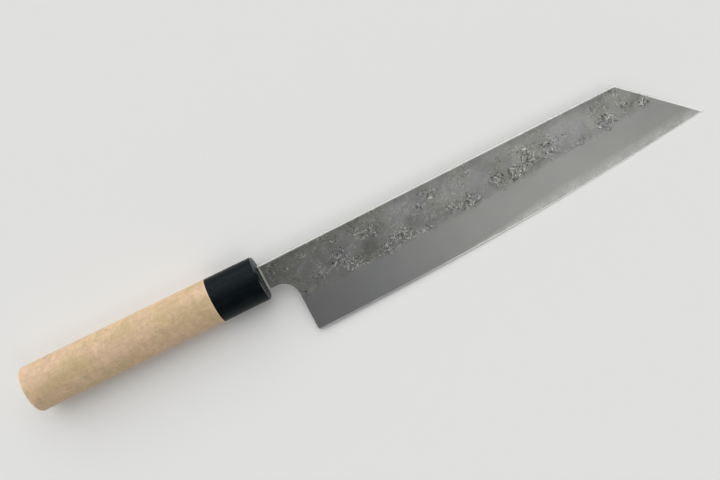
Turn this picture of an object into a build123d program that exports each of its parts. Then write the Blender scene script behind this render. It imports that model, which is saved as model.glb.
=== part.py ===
from build123d import *
from math import asin, cos, radians, sin, tan
import os

os.makedirs("parts", exist_ok=True)

# A kiritsuke kitchen knife: a laminated blade with a sloped tip, in an oval wooden handle with a
# black horn ferrule. All sizes are in millimetres and degrees.
# The pieces are drawn in the blade's own axes: X runs from the ferrule's front face to the point,
# Y from the edge to the spine with zero on the spine line, and Z out of the blade's right-hand side
# with zero on its mid-plane. At the end they are laid on the table, as the knife rests there.

# Blade, seen from its side
edge_length = 240.0
heel_height = 46.8
neck_length = 14.5
neck_height = 14.0
spine_length = 215.1
point_drop = 34.4
choil_radius = 9.5
heel_radius = 1.5
heel_turn = 60.0
edge_rise_shares = (0.023, 0.681, 0.296)

# Blade, across its thickness
spine_thickness = 3.0
point_thickness = 1.5
flat_angle = 0.4
grind_height = 21.2
point_grind_height = 20.5
edge_thickness = 0.24
edge_angle = 15.0
spine_ease = 0.35
spine_ease_share = 0.7
core_thickness = 0.6
point_core_thickness = 0.46

# Tang: the neck's shoulders stop just short of the ferrule, and it tapers from there to its tail
tang_length = 95.0
shoulder_gap = 0.5
shoulder_step = 1.5
side_step = 0.15
tail_height = 6.0
tail_thickness = 2.0
tail_radius = 1.5

# Handle: its oval section grows from the ferrule's front face to the butt
handle_length = 137.9
handle_width = 25.3
butt_width = 26.6
handle_thickness = 20.3
butt_thickness = 21.7
handle_drop = 6.5
butt_drop = 4.5
butt_ease = 2.0

# Ferrule, the grip's tenon in its socket, and the hole for the tang
ferrule_length = 27.9
ferrule_wall = 8.0
rim_radius = 1.5
tenon_wall = 2.3
tenon_side_wall = 4.65
tenon_clearance = 0.1
socket_gap = 0.4
slot_clearance = 0.15
bedding_thickness = 0.6

# How the knife lies: where along the edge it touches the table, as a share of the edge
table_touch_share = 0.91

# Making
overrun = 1.0
grind_stations = 9
settling_steps = 8
sides = (1, -1)

point_x = neck_length + edge_length
tip_slope = point_drop / (point_x - spine_length)
tang_height = neck_height - 2 * shoulder_step
tang_middle = -neck_height / 2
tang_thickness = spine_thickness - 2 * side_step
slot_thickness = tang_thickness + 2 * slot_clearance
tenon_front = -ferrule_wall - socket_gap
tenon_width = tang_height + 2 * (bedding_thickness + tenon_wall)
tenon_thickness = slot_thickness + 2 * tenon_side_wall


def edge_rise(x):
    """Height of the cutting edge at x, and its slope there."""
    along = (x - neck_length) / edge_length
    rise = heel_height - point_drop
    powers = list(enumerate(edge_rise_shares, 1))
    height = rise * sum(share * along**power for power, share in powers) - heel_height
    slope = rise / edge_length * sum(power * share * along ** (power - 1) for power, share in powers)
    return height, slope


def blend(start, end, share):
    """Value that goes evenly from start to end."""
    return start + (end - start) * share


def flat_half(x, y):
    """Distance of the blade's flats from its mid-plane."""
    return blend(spine_thickness, point_thickness, x / point_x) / 2 + y * tan(radians(flat_angle))


def even_places(start, end):
    """Stations of the grind, evenly spaced."""
    return [blend(start, end, step / (grind_stations - 1)) for step in range(grind_stations)]


def trimmed(solid, half, per_x, per_y):
    """The solid between two planes that mirror each other across the mid-plane."""
    for side in sides:
        plane = Plane(origin=(0, 0, side * half), z_dir=(-per_x, -per_y, side))
        solid = split(solid, bisect_by=plane, keep=Keep.BOTTOM)
    return solid


def blade_outline():
    """Side view of the blade and its neck, with a strip of spare steel below the edge for the grind."""
    heel_arc = CenterArc((neck_length + heel_radius, heel_radius - heel_height), heel_radius, 180, heel_turn)
    choil_centre = (neck_length - choil_radius, -neck_height - choil_radius)
    choil_arc = CenterArc(choil_centre, choil_radius, 0, 90)
    heel_end = heel_arc @ 1
    heel_line = heel_arc % 1
    heel_foot = heel_end + heel_line * ((-heel_height - overrun - heel_end.Y) / heel_line.Y)
    tip_foot = Vector(point_x + overrun / tip_slope, -point_drop - overrun)
    strip = [Vector(x, edge_rise(x)[0] - overrun) for x in even_places(point_x, heel_foot.X)[:-1]]
    back = Polyline(
        choil_arc @ 1,
        (shoulder_gap, -neck_height),
        (shoulder_gap, 0),
        (spine_length, 0),
        tip_foot,
        *strip,
        heel_foot,
        heel_end,
    )
    return make_face([back, heel_arc, Line(heel_arc @ 0, choil_arc @ 0), choil_arc])


def grind_section(x):
    """What the grind takes away at x: everything outside the two bevels and the cutting edge."""
    edge = edge_rise(x)[0]
    height = blend(grind_height, point_grind_height, (x - neck_length) / edge_length)
    half = edge_thickness / 2
    shoulder = half / tan(radians(edge_angle))
    bevel_slope = (flat_half(x, edge + height) - half) / (height - shoulder)
    top = height + overrun
    profile = [(shoulder, half), (top, half + bevel_slope * (top - shoulder)), (top, spine_thickness)]
    low_y = -heel_height - 2 * overrun
    right = [Vector(x, edge + y, z) for y, z in profile] + [Vector(x, low_y, spine_thickness)]
    left = [Vector(point.X, point.Y, -point.Z) for point in reversed(right)]
    return Wire.make_polygon([Vector(x, edge, 0)] + right + left, close=True)


def grind():
    """The body that grinding removes, lofted along the curved edge."""
    past_point = point_x + overrun / tip_slope + overrun
    return Solid.make_loft([grind_section(x) for x in even_places(neck_length - choil_radius, past_point)])


def eased_edges(blank):
    """Edges all round both flats, apart from those along the spare steel."""
    flats = blank.faces().sort_by(SortBy.AREA)[-2:]
    middles = [(edge, edge @ 0.5) for flat in flats for edge in flat.edges()]
    return [edge for edge, middle in middles if middle.Y > edge_rise(middle.X)[0] - overrun / 2]


def tapered(front, front_height, back, back_height):
    """Outline that narrows evenly about the tang's line."""
    corners = [(front, front_height), (back, back_height), (back, -back_height), (front, -front_height)]
    return make_face(Polyline(*[(x, tang_middle + height / 2) for x, height in corners], close=True))


def tang():
    """Tapered tail that the handle is fitted on; it starts inside the neck."""
    face = tapered(shoulder_gap + overrun, tang_height, -tang_length, tail_height)
    face = fillet(face.vertices().group_by(Axis.X)[0], tail_radius)
    per_x = (tang_thickness - tail_thickness) / 2 / tang_length
    return trimmed(extrude(face, spine_thickness, both=True), tang_thickness / 2, per_x, 0)


def laminated_blade():
    """The whole blade with its tang, before it is divided into its three layers."""
    per_x = (point_thickness - spine_thickness) / 2 / point_x
    blank = extrude(blade_outline(), spine_thickness, both=True)
    blank = trimmed(blank, spine_thickness / 2, per_x, tan(radians(flat_angle)))
    thinnest = flat_half(point_x, -point_drop)
    blank = fillet(eased_edges(blank), min(spine_ease, thinnest * spine_ease_share))
    return blank - grind() + tang()


def layers(blade):
    """Hard steel core, which the bevels bare along the edge, and the softer cladding on each side."""
    per_x = (point_core_thickness - core_thickness) / 2 / point_x
    planes = [Plane(origin=(0, 0, side * core_thickness / 2), z_dir=(-per_x, 0, side)) for side in sides]
    claddings = [split(blade, bisect_by=plane, keep=Keep.TOP) for plane in planes]
    return [trimmed(blade, core_thickness / 2, per_x, 0)] + claddings


def oval(x, middle, width, thickness):
    """Oval across the handle at x, centred at the height of middle."""
    plane = Plane(origin=(x, middle, 0), x_dir=(0, 1, 0), z_dir=(1, 0, 0))
    return plane * Ellipse(width / 2, thickness / 2)


def handle_size(x):
    """The middle, width and thickness of the handle's outer oval at x."""
    share = -x / handle_length
    sizes = (-handle_drop, -butt_drop), (handle_width, butt_width), (handle_thickness, butt_thickness)
    return [blend(front, butt, share) for front, butt in sizes]


def handle_body(back, front):
    """Solid oval stretch of the handle."""
    return loft([oval(x, *handle_size(x)) for x in (back, front)], ruled=True)


def tenon(length, clearance):
    """Oval tenon around the tang's hole, from the back of the ferrule forwards."""
    width = tenon_width + 2 * clearance
    return extrude(oval(-ferrule_length, tang_middle, width, tenon_thickness + 2 * clearance), length)


def tang_pocket():
    """The tang's hole: a slot through the ferrule's wall, then a tapering hole into the grip."""
    slot_height = tang_height + 2 * slot_clearance
    slot = tapered(shoulder_gap, slot_height, tenon_front, slot_height)
    hole_height = tang_height + 2 * bedding_thickness
    hole_end = -tang_length - bedding_thickness
    hole = tapered(tenon_front + overrun, hole_height, hole_end, tail_height + 2 * bedding_thickness)
    return extrude(slot + hole, slot_thickness / 2, both=True)


def ferrule(pocket):
    """Horn ferrule: a front wall with the slot for the tang, and a socket for the grip's tenon."""
    body = handle_body(-ferrule_length, 0)
    body = fillet(body.faces().sort_by(Axis.X)[-1].edges(), rim_radius)
    return body - tenon(ferrule_length - ferrule_wall, tenon_clearance) - pocket


def grip(pocket):
    """Wooden grip with an eased butt, and a tenon that fills the ferrule's socket."""
    body = handle_body(-handle_length, -ferrule_length)
    body = fillet(body.faces().sort_by(Axis.X)[0].edges(), butt_ease)
    return body + tenon(ferrule_length + tenon_front, 0) - pocket


def table_plane():
    """Plane of the table: it touches the edge at one place and the ferrule just behind its rim."""
    touch_x = neck_length + table_touch_share * edge_length
    touch_y, slope = edge_rise(touch_x)
    touch = Vector(touch_x, touch_y, 0)
    across = Vector(-slope, 1, 0).normalized()
    middle, width, thickness = handle_size(-rim_radius)
    reach = (Vector(-rim_radius, middle, 0) - touch).dot(across)
    lean = 0
    for _ in range(settling_steps):
        support = Vector(0, width * across.Y * sin(lean), thickness * cos(lean)).length / 2
        lean = asin(support / reach)
    up = across * sin(lean) + Vector(0, 0, cos(lean))
    along = Vector(1, 0, 0) - up * up.X
    return Plane(origin=touch, x_dir=along, z_dir=up)


blade = laminated_blade()
core, cladding_right, cladding_left = layers(blade)
pocket = tang_pocket()
pieces = {
    "core_steel": core,
    "cladding_right": cladding_right,
    "cladding_left": cladding_left,
    "tang_bedding": pocket - blade,
    "ferrule": ferrule(pocket),
    "grip": grip(pocket),
}

table = table_plane()
laid = {name: table.to_local_coords(piece) for name, piece in pieces.items()}
box = Compound(list(laid.values())).bounding_box()
to_origin = Location((-box.center().X, -box.center().Y, -box.min.Z))
for name, piece in laid.items():
    export_step(to_origin * piece, f"parts/{name}.step")
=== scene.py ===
from math import cos, hypot, radians

import bpy
from mathutils import Euler, Matrix, Vector


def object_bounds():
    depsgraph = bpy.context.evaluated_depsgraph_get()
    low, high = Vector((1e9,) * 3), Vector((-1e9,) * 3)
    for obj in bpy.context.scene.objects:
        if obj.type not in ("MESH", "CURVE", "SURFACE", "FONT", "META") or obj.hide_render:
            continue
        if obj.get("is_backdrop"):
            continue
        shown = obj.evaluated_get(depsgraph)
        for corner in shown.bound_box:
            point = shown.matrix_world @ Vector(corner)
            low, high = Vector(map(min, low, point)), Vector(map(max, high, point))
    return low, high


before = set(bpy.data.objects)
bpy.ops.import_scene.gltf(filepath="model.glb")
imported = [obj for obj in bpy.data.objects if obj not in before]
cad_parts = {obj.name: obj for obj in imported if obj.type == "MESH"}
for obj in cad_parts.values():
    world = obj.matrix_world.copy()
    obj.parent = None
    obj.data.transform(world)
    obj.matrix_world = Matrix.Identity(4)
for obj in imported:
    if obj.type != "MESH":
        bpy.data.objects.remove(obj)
cad_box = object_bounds()

# A kiritsuke kitchen knife that lies on a pale floor. The frame holds its pieces, and this script
# gives them their finishes, the light and the camera.

# The finishes are drawn in millimetres in the blade's own axes: X runs from the ferrule's front face
# to the point, Y from the edge to the spine with zero on the spine line, and Z out of the right flank.
# The cutting edge rises from the heel to the point by a share of the distance, one of its square and
# one of its cube. The grip runs from its joint with the ferrule back to its butt.
METRE = 1000.0
NECK_LENGTH = 14.5
EDGE_LENGTH = 240.0
POINT_X = NECK_LENGTH + EDGE_LENGTH
POINT_DROP = 34.4
SPINE_LENGTH = 215.1
HEEL_HEIGHT = 46.8
EDGE_RISE_SHARES = (0.023, 0.681, 0.296)
JOINT_X = -27.9
BUTT_X = -137.9

# How these axes are found in the frame: a face looks along a direction if its normal has more than
# this share of it, and the corners at the point come this near, in millimetres, to the furthest one
FACING_SHARE = 0.9
POINT_REACH = 0.05

# Camera, where the photograph was taken from: its place in metres, its turn in degrees, and its lens
# and sensor in millimetres
CAMERA_PLACE = (0.007785, -0.003025, 0.449761)
CAMERA_TURN = (0.5176, 1.6548, -26.8506)
CAMERA_LENS = 40.993
SENSOR_WIDTH = 36.0

# Floor, in metres
FLOOR_RADIUS = 12.0
FLOOR_SIDES = 96
FLOOR_COLOUR = (0.86, 0.86, 0.85, 1)
FLOOR_ROUGHNESS = 0.9
FLOOR_GLOSS = 0.1

# Sky: pale up to one height and dim from another, which is lower on the edge's side than on the
# spine's side. A height is a direction's part upwards, and a side is its part towards the spine. Some
# areas are brighter, each with the direction that it lies in, the angles from there where it fades
# out and where it is full, and its strength. They fade in from the height where the pale sky ends.
SKY_COLOUR = (1, 1, 1, 1)
SKY_LOW = 0.72
SKY_HIGH = 0.14
SKY_LOW_END = 0.15
SKY_SIDES = (-0.6, 0.2)
SKY_HIGH_STARTS = (0.32, 0.58)
BRIGHT_FULL = 0.35
BRIGHT_AREAS = (
    ((-0.1, 0.80, 0.60), 68.0, 15.0, 1.68),
    ((0.27, -0.46, 0.80), 15.8, 8.6, 1.76),
    ((-0.78, -0.46, 0.42), 42.0, 10.0, 0.40),
    ((0.82, 0.16, 0.55), 32.0, 8.0, 0.40),
)

# In what follows, a noise is its waves per millimetre, alike all round or one for each axis, and then
# its detail, roughness and distortion. A step goes from 0 at its first value to 1 at its second, or
# from its third number to its fourth. A pattern is a noise and the step that sharpens it. A level is
# what a colour is multiplied by. Shares say how much of each pattern is added to a level, a roughness
# or a relief, and a relief without shares is its depth in millimetres.

# Ground steel: a little cooler near the heel, with fine lines along it and a slow drift. The haze along
# the cutting edge gets wider, and a painted highlight on the rim at the edge gets brighter, towards the tip.
STEEL_COOL_COLOUR = (0.284, 0.286, 0.292, 1)
STEEL_COLOUR = (0.287, 0.290, 0.277, 1)
COOL_STEP = (30.0, 110.0)
LINE_NOISE = ((2.2, 0.12, 1), 3.0, 0.6)
DRIFT_NOISE = (0.05, 2.0)
HAZE_WIDTH_STEP = (100.0, 170.0, 1.2, 8.3)
HAZE_SPECKLE_PATTERN = ((0.75, 5.0, 0.7), (0.36, 0.64, 0.55, 1.0))
HAZE_DRIFT_PATTERN = ((0.13, 3.0, 0.6), (0.36, 0.62, 0.55, 1.1))
EDGE_RIM_HIGHLIGHT_STEP = (0.95, 0.50)
EDGE_RIM_HIGHLIGHT_GROWTH_STEP = (60.0, 120.0, 0.35, 1.0)
SATIN_LEVEL = 0.88
SATIN_LEVEL_SHARES = {"lines": 0.08, "drift": 0.14, "haze": 0.95, "rim_highlight": 2.0}
SATIN_ROUGHNESS = 0.34
SATIN_ROUGHNESS_SHARES = {"haze": 0.06, "rim_highlight": 0.36}
LINE_RELIEF_SHARE = 0.03
STEEL_RELIEF = 0.07

# Corners made bright, partly by real wear and partly as a painted highlight: along the spine by height,
# along the sloped tip by the distance inwards from it, and on the neck by the distance from the ferrule
SPINE_WEAR_AND_HIGHLIGHT_STEP = (-1.0, -0.5)
TIP_WEAR_AND_HIGHLIGHT_STEP = (1.0, 0.5, 0.0, 1.4)
NECK_WEAR_AND_HIGHLIGHT_STEP = (2.0, 1.4, 0.0, 1.2)
WEAR_AND_HIGHLIGHT_SHARE = 1.5

# Pear-skin finish: the height above the edge where it ends, how far its border wanders, and how soft
# the border is: softer near the tip, and sharper among the pits. The two flanks take their noises
# from opposite sides of the mid-plane, SIDE_SHIFT away from it, so they differ.
SKIN_END = 19.8
SKIN_WANDER = 11.0
BORDER_NOISE = (0.11, 6.0, 0.68)
BORDER_SOFTNESS_STEP = (205.0, 232.0, 2.8, 5.0)
PIT_SHARPNESS = 1.8
SIDE_SHIFT = 40.0

# Its colours and patterns: broad shades, clouds, fine grain, crumpled hollows and pits darkened as
# painted shade, crests, thin contours in some places and flecks in others lightened as painted
# highlights, and a darker band below the spine
SKIN_COOL_COLOUR = (0.291, 0.289, 0.286, 1)
SKIN_WARM_COLOUR = (0.284, 0.291, 0.262, 1)
TINT_PATTERN = ((0.06, 3.0, 0.6), (0.40, 0.60))
SHADE_PATTERN = ((0.075, 3.0, 0.5, 0.5), (0.38, 0.62))
CLOUD_NOISE = (0.28, 4.0, 0.6, 0.8)
GRAIN_NOISE = (1.7, 3.0, 0.6)
CRUMPLE_NOISE = (0.38, 4.0, 0.62, 1.8)
SHADED_HOLLOW_STEP = (0.46, 0.36)
HIGHLIGHTED_CREST_STEP = (0.54, 0.62)
SHADED_PIT_PATTERN = ((0.65, 2.0, 0.5), (0.40, 0.32))
HIGHLIGHT_CONTOUR_NOISE = (0.085, 4.0, 0.55, 0.8)
CONTOUR_WIDTH = 0.016
CONTOUR_CORE_SHARE = 0.25
HIGHLIGHT_CONTOUR_PLACE_PATTERN = ((0.11, 2.0), (0.42, 0.55))
GLINT_FLECK_PATTERN = ((1.1, 3.0, 0.6), (0.62, 0.72))
GLINT_FLECK_PLACE_PATTERN = ((0.16, 3.0, 0.6), (0.48, 0.60))
SPINE_BAND_STEP = (-5.0, -1.5)
HEEL_PAINTED_SHADE_STEP = (15.0, 90.0, 0.80, 1.0)
SKIN_LEVEL = 0.60
SKIN_LEAST_LEVEL = 0.12
SKIN_LEVEL_SHARES = {
    "shades": 0.17,
    "clouds": 0.46,
    "grain": 0.28,
    "contours": 0.34,
    "flecks": 0.46,
    "clusters": -0.06,
    "shaded_hollows": -0.58,
    "highlighted_crests": 1.20,
    "shaded_pits": -0.56,
    "spine band": -0.10,
}
SKIN_ROUGHNESS = 0.30
SKIN_ROUGHNESS_SHARES = {"clouds": 0.16}
SKIN_RELIEF_SHARES = {
    "clouds": 0.50,
    "grain": 0.45,
    "contours": 0.25,
    "shaded_hollows": -0.80,
    "highlighted_crests": 0.60,
    "shaded_pits": -1.00,
}

# Outlines of clusters and patches: the sway that makes them uneven, in millimetres, and how ragged the
# clusters are. Stray clusters are faint ones that lie all over.
SWAY = 5.0
SWAY_WAVES = 0.35
SWAY_DETAIL = 3.0
RAGGED_NOISE = (0.42, 4.0, 0.6)
RAGGEDNESS = 1.3
CLUSTER_STEP = (0.12, 0.55)
STRAY_PATTERN = ((0.14, 3.0, 0.6), (0.54, 0.66, 0.08, 0.60))

# Clusters of pits on the right flank, each with its place, half width, half height and strength
PIT_CLUSTERS = (
    (13, -8, 3, 2.5, 0.6),
    (19, -24.5, 6, 3, 1.1),
    (30, -21, 6, 3, 0.5),
    (41, -16, 8, 8, 1.0),
    (48, -22.5, 8, 5, 1.1),
    (54, -26, 6, 3, 0.9),
    (44, -6, 4, 3, 0.8),
    (56, -7, 7, 4, 0.8),
    (63, -9.5, 10, 6.5, 1.1),
    (67, -24, 8, 5, 1.0),
    (77, -22, 11, 7, 1.2),
    (92, -10, 6, 6, 0.6),
    (101, -8, 8, 7, 0.6),
    (93, -24, 7, 3, 0.6),
    (110, -20, 8, 5, 0.9),
    (119, -20, 9, 6, 1.1),
    (122, -5, 8, 4, 0.7),
    (138, -16, 7, 8, 0.9),
    (148, -17.5, 7, 6, 1.2),
    (157, -13, 6, 9, 0.9),
    (169, -13, 8, 9, 0.9),
    (178, -11, 5, 4, 0.8),
    (186, -18, 9, 4, 0.6),
    (203, -15, 8.5, 6, 1.1),
    (216, -12, 6, 3, 0.7),
    (226.5, -16, 5, 5, 0.9),
)

# Smooth patches of the pear-skin finish on the right flank, darker or paler than the rest, with the
# same five numbers each, and how steeply they rise from their outlines
PATCH_STEEPNESS = 1.8
SMOOTH_PATCHES = (
    (7, -7, 11, 10, -0.14),
    (23, -11, 10, 6, 0.12),
    (27, -20, 8, 5, -0.10),
    (48, -22, 6, 4, -0.10),
    (60, -18.5, 12, 8, -0.24),
    (67, -22.5, 6, 3.5, 0.10),
    (75, -6, 11, 6, 0.10),
    (92, -17.5, 13, 8, -0.20),
    (98, -12.5, 7, 5, 0.16),
    (112, -12, 12, 7, 0.12),
    (118, -22, 7, 4, -0.12),
    (129, -19, 9, 6, -0.14),
    (146, -22, 8, 4, 0.10),
    (158, -17.5, 7, 5, -0.14),
    (168, -13, 7, 6, 0.14),
    (181, -9, 12, 9, 0.14),
    (195, -9, 9, 8, 0.10),
    (198, -14, 7, 6, 0.18),
    (215, -6, 11, 6, 0.06),
)

# Horn of the ferrule: black, with bluish streaks and a painted highlight that makes its front rim paler
HORN_COLOUR = (0.0018, 0.0032, 0.0040, 1)
HORN_STREAK_COLOUR = (0.0050, 0.0080, 0.0105, 1)
HORN_RIM_HIGHLIGHT_COLOUR = (0.120, 0.140, 0.142, 1)
HORN_SHEEN_COLOUR = (0.75, 0.95, 1.0, 1)
HORN_STREAK_NOISE = ((0.07, 0.5, 0.5), 4.0, 0.6, 0.6)
HORN_STREAK_STEP = (0.45, 0.75)
HORN_CLOUD_NOISE = (0.14, 3.0)
HORN_CLOUD_STEP = (0.3, 0.6)
HORN_RIM_HIGHLIGHT_STEPS = ((-1.05, -0.65), (-0.1, -0.35))
HORN_GLOSS = 0.13
HORN_ROUGHNESS = 0.08
HORN_ROUGHNESS_SHARES = {"clouds": 0.30, "streaks": 0.22}
HORN_RELIEF = 0.015

# Magnolia of the grip: two tones in blotches, wandering and curved growth rings, fibres, mottle, short
# pores and brown flecks. It is rubbed pale at its joint and around its butt.
WOOD_COLOUR = (0.658, 0.467, 0.308, 1)
WOOD_DEEP_COLOUR = (0.578, 0.429, 0.245, 1)
WOOD_FLECK_COLOUR = (0.260, 0.165, 0.090, 1)
BLOTCH_PATTERN = (((0.05, 0.10, 0.10), 3.0), (0.35, 0.65))
RING_SWAY_NOISE = ((0.02, 0.05, 0.05), 3.0)
RING_SWAY = 12.0
RING_CURVE = 0.02
RING_WAVES = 0.55
RING_DETAIL = 3.0
FIBRE_NOISE = ((0.08, 2.4, 2.4), 4.0, 0.65)
MOTTLE_NOISE = ((0.26, 0.20, 0.20), 5.0, 0.72, 0.8)
PORE_PATTERN = (((0.35, 4.5, 4.5), 2.0), (0.63, 0.72))
WOOD_FLECK_PATTERN = (((0.7, 1.2, 1.2), 2.0), (0.68, 0.74))
WOOD_FLECK_SHARE = 0.6
JOINT_WEAR_STEP = (JOINT_X - 1.0, JOINT_X - 0.3)
BUTT_WEAR_STEP = (BUTT_X + 2.2, BUTT_X + 0.8)
WOOD_LEVEL = 0.365
WOOD_LEVEL_SHARES = {"rings": 0.16, "fibres": 0.32, "mottle": 0.85, "pores": -0.10, "wear": 0.16}
WOOD_GLOSS = 0.35
WOOD_ROUGHNESS = 0.50
WOOD_ROUGHNESS_SHARES = {"fibres": 0.12}
WOOD_RELIEF_SHARES = {"fibres": 1.0, "pores": -0.8}
WOOD_RELIEF = 0.03

# Bedding resin
RESIN_COLOUR = (0.020, 0.016, 0.012, 1)
RESIN_PALE_COLOUR = (0.045, 0.036, 0.026, 1)
RESIN_NOISE = (0.8, 3.0)
RESIN_ROUGHNESS = 0.35
RESIN_ROUGHNESS_SHARES = {"clouds": 0.2}
RESIN_RELIEF = 0.05

# Sockets of the mix node for colours, by number: those for numbers and vectors have the same names
MIX_FIRST = 6
MIX_SECOND = 7
MIX_RESULT = 2


class Graph:
    """The node tree of a material or of the world, with short ways to add to it."""

    def __init__(self, holder):
        holder.use_nodes = True
        self.holder = holder
        self.tree = holder.node_tree

    def put(self, socket, value):
        """Links a socket to another node's output, or sets its value."""
        if isinstance(value, bpy.types.NodeSocket):
            self.tree.links.new(value, socket)
        else:
            socket.default_value = value

    def add(self, kind, inputs, **settings):
        """A new node, with its settings and its inputs by name or number."""
        node = self.tree.nodes.new(kind)
        for name, value in settings.items():
            setattr(node, name, value)
        for key, value in inputs.items():
            self.put(node.inputs[key], value)
        return node

    def parts(self, vector):
        """The three numbers of a vector."""
        return self.add("ShaderNodeSeparateXYZ", {0: vector}).outputs

    def math(self, operation, first, second=0.0, third=0.0):
        """One sum on numbers."""
        return self.add("ShaderNodeMath", {0: first, 1: second, 2: third}, operation=operation).outputs[0]

    def summed(self, base, patterns, shares):
        """A base value, plus each named pattern times its share."""
        for name, share in shares.items():
            base = self.math("MULTIPLY_ADD", patterns[name], share, base)
        return base

    def between(self, share, first, second):
        """A number between two numbers."""
        return self.math("MULTIPLY_ADD", self.math("SUBTRACT", second, first), share, first)

    def ramp(self, value, low, high, start=0.0, end=1.0):
        """A smooth step of value, from start at low to end at high."""
        inputs = {"Value": value, "From Min": low, "From Max": high, "To Min": start, "To Max": end}
        return self.add("ShaderNodeMapRange", inputs, interpolation_type="SMOOTHSTEP").outputs["Result"]

    def stretched(self, vector, size, shift=(0, 0, 0)):
        """The vector scaled and then shifted."""
        return self.add("ShaderNodeMapping", {"Vector": vector, "Scale": size, "Location": shift}).outputs[0]

    def noise(self, place, waves, detail=2.0, roughness=0.5, distortion=0.0):
        """Noise between 0 and 1, with its waves per millimetre alike all round or for each axis."""
        if isinstance(waves, tuple):
            place = self.stretched(place, waves)
            waves = 1.0
        inputs = {"Vector": place, "Scale": waves, "Detail": detail}
        inputs.update({"Roughness": roughness, "Distortion": distortion})
        return self.add("ShaderNodeTexNoise", inputs).outputs["Fac"]

    def pattern(self, place, noise, step):
        """A noise sharpened by a smooth step."""
        return self.ramp(self.noise(place, *noise), *step)

    def contours(self, noise, width, core):
        """Thin lines where a noise passes its middle value, full from its core inwards."""
        return self.ramp(self.math("ABSOLUTE", self.math("SUBTRACT", noise, 0.5)), width, core)

    def mixed(self, share, first, second, blend="MIX"):
        """A colour between two colours, or the two blended in another way."""
        inputs = {"Factor": share, MIX_FIRST: first, MIX_SECOND: second}
        mix = self.add("ShaderNodeMix", inputs, data_type="RGBA", blend_type=blend)
        return mix.outputs[MIX_RESULT]

    def tinted(self, colour, level):
        """A colour made lighter or darker by a number."""
        grey = self.add("ShaderNodeCombineXYZ", {0: level, 1: level, 2: level}).outputs[0]
        return self.mixed(1.0, colour, grey, "MULTIPLY")

    def bump(self, height, depth):
        """Relief of a depth in millimetres, where height goes from 0 to 1."""
        inputs = {"Height": height, "Distance": depth / METRE, "Strength": 1.0}
        return self.add("ShaderNodeBump", inputs).outputs["Normal"]

    def surface(self, **inputs):
        """Sets the shader's own inputs, and gives the material."""
        shader = self.tree.nodes["Principled BSDF"]
        for name, value in inputs.items():
            self.put(shader.inputs[name.replace("_", " ")], value)
        return self.holder


def material_graph(name):
    """The graph of a new material."""
    return Graph(bpy.data.materials.new(name))


def facing(node, direction):
    """The faces of a node that look along a direction."""
    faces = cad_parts[node].data.polygons
    return [face for face in faces if face.normal.dot(direction) > FACING_SHARE]


def mean_normal(faces):
    """The mean direction that faces look in."""
    return sum((face.normal * face.area for face in faces), Vector()).normalized()


def blade_axes():
    """The turn to the blade's own axes and their origin, from its inner planes, its spine and its point."""
    up = Vector((0, 0, 1))
    out = mean_normal(facing("cladding_left", up)) - mean_normal(facing("cladding_right", -up))
    out.normalize()
    spine = max(facing("core_steel", Vector((0, 1, 0))), key=lambda face: face.area).normal
    along = spine.cross(out).normalized()
    spine = out.cross(along)
    corners = [vertex.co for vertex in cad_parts["core_steel"].data.vertices]
    reach = max(corner.dot(along) for corner in corners)
    ends = [corner for corner in corners if corner.dot(along) > reach - POINT_REACH / METRE]
    point = sum(ends, Vector()) / len(ends)
    origin = point - along * POINT_X / METRE + spine * POINT_DROP / METRE
    return Matrix((along, spine, out)), origin


TO_BLADE, BLADE_ORIGIN = blade_axes()


def blade_place(graph):
    """The place on the surface in the blade's own axes, in millimetres."""
    place = graph.add("ShaderNodeTexCoord", {}).outputs["Object"]
    shift = TO_BLADE @ BLADE_ORIGIN * -METRE
    inputs = {"Vector": place, "Scale": (METRE,) * 3, "Rotation": TO_BLADE.to_euler(), "Location": shift}
    return graph.add("ShaderNodeMapping", inputs).outputs[0]


def above_edge(graph, x, y):
    """Height above the cutting edge, in millimetres."""
    along = graph.math("MULTIPLY_ADD", x, 1 / EDGE_LENGTH, -NECK_LENGTH / EDGE_LENGTH)
    first, second, third = [share * (HEEL_HEIGHT - POINT_DROP) for share in EDGE_RISE_SHARES]
    rise = graph.math("MULTIPLY_ADD", along, third, second)
    rise = graph.math("MULTIPLY_ADD", along, rise, first)
    rise = graph.math("MULTIPLY_ADD", along, rise, -HEEL_HEIGHT)
    return graph.math("SUBTRACT", y, rise)


def steel_place(graph):
    """The place on the blade, its two parts along and up the blade, and its height above the edge."""
    place = blade_place(graph)
    x, y, _ = graph.parts(place)
    return place, x, y, above_edge(graph, x, y)


def satin_steel(graph, place, x, height):
    """Colour level, roughness and fine lines of the ground bevel, hazy along the edge, with a painted
    highlight on the rim at the edge.
    """
    speckle = graph.pattern(place, *HAZE_SPECKLE_PATTERN)
    drift = graph.pattern(place, *HAZE_DRIFT_PATTERN)
    fading = graph.ramp(height, graph.ramp(x, *HAZE_WIDTH_STEP), 0.0)
    patterns = {
        "lines": graph.noise(place, *LINE_NOISE),
        "drift": graph.noise(place, *DRIFT_NOISE),
        "haze": graph.math("MULTIPLY", graph.math("MULTIPLY", speckle, drift), fading),
        # The rim at the cutting edge is a painted highlight
        "rim_highlight": graph.math("MULTIPLY", graph.ramp(height, *EDGE_RIM_HIGHLIGHT_STEP), graph.ramp(x, *EDGE_RIM_HIGHLIGHT_GROWTH_STEP)),
    }
    level = graph.summed(SATIN_LEVEL, patterns, SATIN_LEVEL_SHARES)
    roughness = graph.summed(SATIN_ROUGHNESS, patterns, SATIN_ROUGHNESS_SHARES)
    return level, roughness, patterns["lines"]


def steel_tint(graph, x):
    """Colour of ground steel, a little cooler near the heel."""
    return graph.mixed(graph.ramp(x, *COOL_STEP), STEEL_COOL_COLOUR, STEEL_COLOUR)


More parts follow.
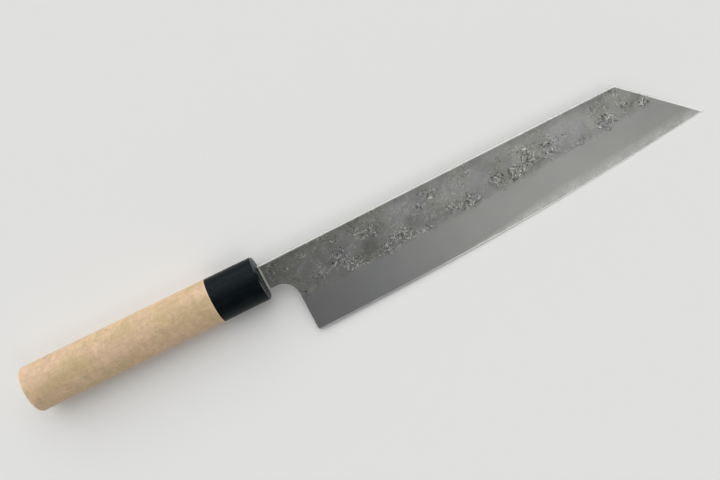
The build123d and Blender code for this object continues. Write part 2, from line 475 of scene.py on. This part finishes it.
def with_wear_and_highlight(graph, x, y, level):
    """The level, made brighter where the corners of the spine, the sloped tip and the neck are rubbed,
    partly as real wear and partly as a painted highlight.
    """
    run = POINT_X - SPINE_LENGTH
    length = hypot(run, POINT_DROP)
    inwards = graph.math("MULTIPLY_ADD", x, -POINT_DROP / length, SPINE_LENGTH * POINT_DROP / length)
    inwards = graph.math("MULTIPLY_ADD", y, -run / length, inwards)
    # The bright corners are partly real wear and partly a painted highlight
    wear = graph.math("MAXIMUM", graph.ramp(y, *SPINE_WEAR_AND_HIGHLIGHT_STEP), graph.ramp(inwards, *TIP_WEAR_AND_HIGHLIGHT_STEP))
    wear = graph.math("MAXIMUM", wear, graph.ramp(x, *NECK_WEAR_AND_HIGHLIGHT_STEP))
    return graph.math("MULTIPLY_ADD", wear, WEAR_AND_HIGHLIGHT_SHARE, level)


def swayed(graph, place):
    """The place moved about a little, so that round spots get uneven outlines."""
    inputs = {"Vector": place, "Scale": SWAY_WAVES, "Detail": SWAY_DETAIL}
    sway = graph.add("ShaderNodeTexNoise", inputs).outputs["Color"]
    inputs = {0: sway, 1: (SWAY, SWAY, 0), 2: (-SWAY / 2, -SWAY / 2, 0)}
    sway = graph.add("ShaderNodeVectorMath", inputs, operation="MULTIPLY_ADD").outputs[0]
    return graph.add("ShaderNodeVectorMath", {0: place, 1: sway}, operation="ADD").outputs[0]


def spots(graph, place, rows, side, steepness=1.0):
    """Strength of each round spot at a place; on the left flank the spots lie the other way round."""
    for x, y, half_width, half_height, strength in rows:
        middle = x if side > 0 else POINT_X - x
        size = (1 / half_width, 1 / half_height, 0)
        inputs = {"Vector": graph.stretched(place, size, (-middle / half_width, -y / half_height, 0))}
        near = graph.add("ShaderNodeTexGradient", inputs, gradient_type="SPHERICAL").outputs["Fac"]
        full = graph.math("MINIMUM", graph.math("MULTIPLY", near, steepness), 1.0)
        yield graph.math("MULTIPLY", full, strength)


def cluster_mask(graph, flat, side):
    """Where the pits lie close together, from 0 to 1."""
    mask = 0.0
    for spot in spots(graph, swayed(graph, flat), PIT_CLUSTERS, side):
        mask = graph.math("MAXIMUM", mask, spot)
    ragged = graph.math("MULTIPLY_ADD", graph.noise(flat, *RAGGED_NOISE), RAGGEDNESS, -RAGGEDNESS / 2)
    mask = graph.ramp(graph.math("ADD", mask, ragged), *CLUSTER_STEP)
    return graph.math("MAXIMUM", mask, graph.pattern(flat, *STRAY_PATTERN))


def skin_mask(graph, flat, x, height, clusters):
    """Where the pear-skin finish is, from 0 below its wandering border to 1 above."""
    over = graph.math("MULTIPLY_ADD", graph.noise(flat, *BORDER_NOISE), -SKIN_WANDER, height)
    over = graph.math("SUBTRACT", over, SKIN_END - SKIN_WANDER / 2)
    softness = graph.ramp(x, *BORDER_SOFTNESS_STEP)
    softness = graph.math("MULTIPLY_ADD", clusters, -PIT_SHARPNESS, softness)
    return graph.ramp(graph.math("DIVIDE", over, softness), -1.0, 1.0)


def skin_patterns(graph, flat, y, side):
    """The patterns of the pear-skin finish, each from 0 to 1, by name."""
    clusters = cluster_mask(graph, flat, side)
    crumple = graph.noise(flat, *CRUMPLE_NOISE)
    contours = graph.noise(flat, *HIGHLIGHT_CONTOUR_NOISE)
    contours = graph.contours(contours, CONTOUR_WIDTH, CONTOUR_WIDTH * CONTOUR_CORE_SHARE)
    flecks = graph.pattern(flat, *GLINT_FLECK_PATTERN)
    return {
        "clusters": clusters,
        "shades": graph.pattern(flat, *SHADE_PATTERN),
        "clouds": graph.noise(flat, *CLOUD_NOISE),
        "grain": graph.noise(flat, *GRAIN_NOISE),
        # Painted shade in the hollows and pits, painted highlights on the crests, contours and flecks
        "shaded_hollows": graph.math("MULTIPLY", graph.ramp(crumple, *SHADED_HOLLOW_STEP), clusters),
        "highlighted_crests": graph.math("MULTIPLY", graph.ramp(crumple, *HIGHLIGHTED_CREST_STEP), clusters),
        "shaded_pits": graph.math("MULTIPLY", graph.pattern(flat, *SHADED_PIT_PATTERN), clusters),
        "contours": graph.math("MULTIPLY", contours, graph.pattern(flat, *HIGHLIGHT_CONTOUR_PLACE_PATTERN)),
        "flecks": graph.math("MULTIPLY", flecks, graph.pattern(flat, *GLINT_FLECK_PLACE_PATTERN)),
        "spine band": graph.ramp(y, *SPINE_BAND_STEP),
    }


def skin_level(graph, flat, x, patterns, side):
    """Colour level of the pear-skin finish, with painted shade that makes it darker near the heel."""
    # The shares darken the hollows and pits as painted shade and lighten the crests, contours and flecks as
    # painted highlights
    level = graph.summed(SKIN_LEVEL, patterns, SKIN_LEVEL_SHARES)
    for spot in spots(graph, swayed(graph, flat), SMOOTH_PATCHES, side, PATCH_STEEPNESS):
        level = graph.math("ADD", level, spot)
    # Painted shade near the heel
    level = graph.math("MULTIPLY", level, graph.ramp(x, *HEEL_PAINTED_SHADE_STEP))
    return graph.math("MAXIMUM", level, SKIN_LEAST_LEVEL)


def cladding(side):
    """Soft steel, pear-skin above the satin bevel; side is 1 on the right flank and -1 on the left."""
    graph = material_graph("cladding_finish_" + ("right" if side > 0 else "left"))
    place, x, y, height = steel_place(graph)
    flat = graph.stretched(place, (1, 1, 0), (0, 0, side * SIDE_SHIFT))
    patterns = skin_patterns(graph, flat, y, side)
    skin = skin_mask(graph, flat, x, height, patterns["clusters"])
    satin_level, satin_roughness, lines = satin_steel(graph, place, x, height)
    level = graph.between(skin, satin_level, skin_level(graph, flat, x, patterns, side))
    skin_colour = graph.mixed(graph.pattern(flat, *TINT_PATTERN), SKIN_COOL_COLOUR, SKIN_WARM_COLOUR)
    colour = graph.mixed(skin, steel_tint(graph, x), skin_colour)
    skin_roughness = graph.summed(SKIN_ROUGHNESS, patterns, SKIN_ROUGHNESS_SHARES)
    relief = graph.math("MULTIPLY", graph.summed(0.0, patterns, SKIN_RELIEF_SHARES), skin)
    relief = graph.math("MULTIPLY_ADD", lines, LINE_RELIEF_SHARE, relief)
    return graph.surface(
        Base_Color=graph.tinted(colour, with_wear_and_highlight(graph, x, y, level)),
        Metallic=1.0,
        Roughness=graph.between(skin, satin_roughness, skin_roughness),
        Normal=graph.bump(relief, STEEL_RELIEF),
    )


def core_steel():
    """Hard steel, hazy where the bevel bares it, with a painted highlight on the rim at the edge."""
    graph = material_graph("core_steel_finish")
    place, x, y, height = steel_place(graph)
    level, roughness, lines = satin_steel(graph, place, x, height)
    return graph.surface(
        Base_Color=graph.tinted(steel_tint(graph, x), with_wear_and_highlight(graph, x, y, level)),
        Metallic=1.0,
        Roughness=roughness,
        Normal=graph.bump(graph.math("MULTIPLY", lines, LINE_RELIEF_SHARE), STEEL_RELIEF),
    )


def horn():
    """Polished black horn, with faint streaks along it and a painted highlight on its rim."""
    graph = material_graph("horn_finish")
    place = blade_place(graph)
    x, _, _ = graph.parts(place)
    streaks = graph.noise(place, *HORN_STREAK_NOISE)
    clouds = graph.noise(place, *HORN_CLOUD_NOISE)
    back_step, front_step = HORN_RIM_HIGHLIGHT_STEPS
    # The paler front rim is a painted highlight
    rim_highlight = graph.math("MULTIPLY", graph.ramp(x, *back_step), graph.ramp(x, *front_step))
    rim_highlight = graph.math("MULTIPLY", rim_highlight, graph.ramp(clouds, *HORN_CLOUD_STEP))
    colour = graph.mixed(graph.ramp(streaks, *HORN_STREAK_STEP), HORN_COLOUR, HORN_STREAK_COLOUR)
    patterns = {"streaks": streaks, "clouds": clouds}
    return graph.surface(
        Base_Color=graph.mixed(rim_highlight, colour, HORN_RIM_HIGHLIGHT_COLOUR),
        Roughness=graph.summed(HORN_ROUGHNESS, patterns, HORN_ROUGHNESS_SHARES),
        Specular_IOR_Level=HORN_GLOSS,
        Specular_Tint=HORN_SHEEN_COLOUR,
        Normal=graph.bump(streaks, HORN_RELIEF),
    )


def growth_rings(graph, place):
    """Noise in layers through the wood, which wander along the grip and curve across it."""
    _, y, z = graph.parts(place)
    layer = graph.math("MULTIPLY_ADD", graph.noise(place, *RING_SWAY_NOISE), RING_SWAY, y)
    layer = graph.math("MULTIPLY_ADD", graph.math("MULTIPLY", z, z), RING_CURVE, layer)
    inputs = {"W": layer, "Scale": RING_WAVES, "Detail": RING_DETAIL}
    return graph.add("ShaderNodeTexNoise", inputs, noise_dimensions="1D").outputs["Fac"]


def magnolia():
    """Pale magnolia wood: soft growth rings, fibres, mottle, short pores and flecks."""
    graph = material_graph("magnolia_finish")
    place = blade_place(graph)
    x, _, _ = graph.parts(place)
    patterns = {
        "rings": growth_rings(graph, place),
        "fibres": graph.noise(place, *FIBRE_NOISE),
        "mottle": graph.noise(place, *MOTTLE_NOISE),
        "pores": graph.pattern(place, *PORE_PATTERN),
        "wear": graph.math("MAXIMUM", graph.ramp(x, *JOINT_WEAR_STEP), graph.ramp(x, *BUTT_WEAR_STEP)),
    }
    colour = graph.mixed(graph.pattern(place, *BLOTCH_PATTERN), WOOD_COLOUR, WOOD_DEEP_COLOUR)
    flecks = graph.math("MULTIPLY", graph.pattern(place, *WOOD_FLECK_PATTERN), WOOD_FLECK_SHARE)
    colour = graph.mixed(flecks, colour, WOOD_FLECK_COLOUR)
    return graph.surface(
        Base_Color=graph.tinted(colour, graph.summed(WOOD_LEVEL, patterns, WOOD_LEVEL_SHARES)),
        Roughness=graph.summed(WOOD_ROUGHNESS, patterns, WOOD_ROUGHNESS_SHARES),
        Specular_IOR_Level=WOOD_GLOSS,
        Normal=graph.bump(graph.summed(0.0, patterns, WOOD_RELIEF_SHARES), WOOD_RELIEF),
    )


def resin():
    """Dark bedding resin."""
    graph = material_graph("resin_finish")
    clouds = graph.noise(blade_place(graph), *RESIN_NOISE)
    return graph.surface(
        Base_Color=graph.mixed(clouds, RESIN_COLOUR, RESIN_PALE_COLOUR),
        Roughness=graph.summed(RESIN_ROUGHNESS, {"clouds": clouds}, RESIN_ROUGHNESS_SHARES),
        Normal=graph.bump(clouds, RESIN_RELIEF),
    )


def finish_nodes():
    """Gives each node of the frame its material."""
    finishes = {
        "core_steel": core_steel(),
        "cladding_right": cladding(1),
        "cladding_left": cladding(-1),
        "ferrule": horn(),
        "grip": magnolia(),
        "tang_bedding": resin(),
    }
    for name, material in finishes.items():
        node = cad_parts[name]
        node.data.materials.clear()
        node.data.materials.append(material)


def make_floor():
    """A plain pale floor that the knife lies on."""
    bpy.ops.mesh.primitive_circle_add(vertices=FLOOR_SIDES, radius=FLOOR_RADIUS, fill_type="NGON")
    floor = bpy.context.object
    floor.name = "floor"
    material = material_graph("floor_finish").surface(
        Base_Color=FLOOR_COLOUR,
        Roughness=FLOOR_ROUGHNESS,
        Specular_IOR_Level=FLOOR_GLOSS,
    )
    floor.data.materials.append(material)
    floor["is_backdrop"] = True


def make_sky():
    """Plain soft light from all round."""
    world = bpy.data.worlds.new("studio")
    bpy.context.scene.world = world
    graph = Graph(world)
    towards = graph.add("ShaderNodeTexCoord", {}).outputs["Generated"]
    _, across, rise = graph.parts(towards)
    high_start = graph.ramp(across, *SKY_SIDES, *SKY_HIGH_STARTS)
    level = graph.ramp(rise, SKY_LOW_END, high_start, SKY_LOW, SKY_HIGH)
    for direction, outer, inner, strength in BRIGHT_AREAS:
        inputs = {0: towards, 1: Vector(direction).normalized()}
        nearness = graph.add("ShaderNodeVectorMath", inputs, operation="DOT_PRODUCT").outputs["Value"]
        area = graph.ramp(nearness, cos(radians(outer)), cos(radians(inner)), 0.0, strength)
        level = graph.math("MULTIPLY_ADD", area, graph.ramp(rise, SKY_LOW_END, BRIGHT_FULL), level)
    background = graph.tree.nodes["Background"]
    graph.put(background.inputs["Color"], SKY_COLOUR)
    graph.put(background.inputs["Strength"], level)


def make_camera():
    """The camera where the photograph was taken from."""
    data = bpy.data.cameras.new("camera")
    data.lens = CAMERA_LENS
    data.sensor_width = SENSOR_WIDTH
    camera = bpy.data.objects.new("camera", data)
    bpy.context.scene.collection.objects.link(camera)
    camera.location = CAMERA_PLACE
    camera.rotation_euler = Euler([radians(angle) for angle in CAMERA_TURN], "XYZ")
    bpy.context.scene.camera = camera


def write_sizes():
    """Gathers the box of the frame and that of the dressed model, without writing them anywhere."""
    boxes = {"cad": cad_box, "visual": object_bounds()}
    {name: [list(corner) for corner in box] for name, box in boxes.items()}


bpy.context.scene.view_settings.view_transform = "Standard"
make_camera()
make_sky()
make_floor()
finish_nodes()
write_sizes()
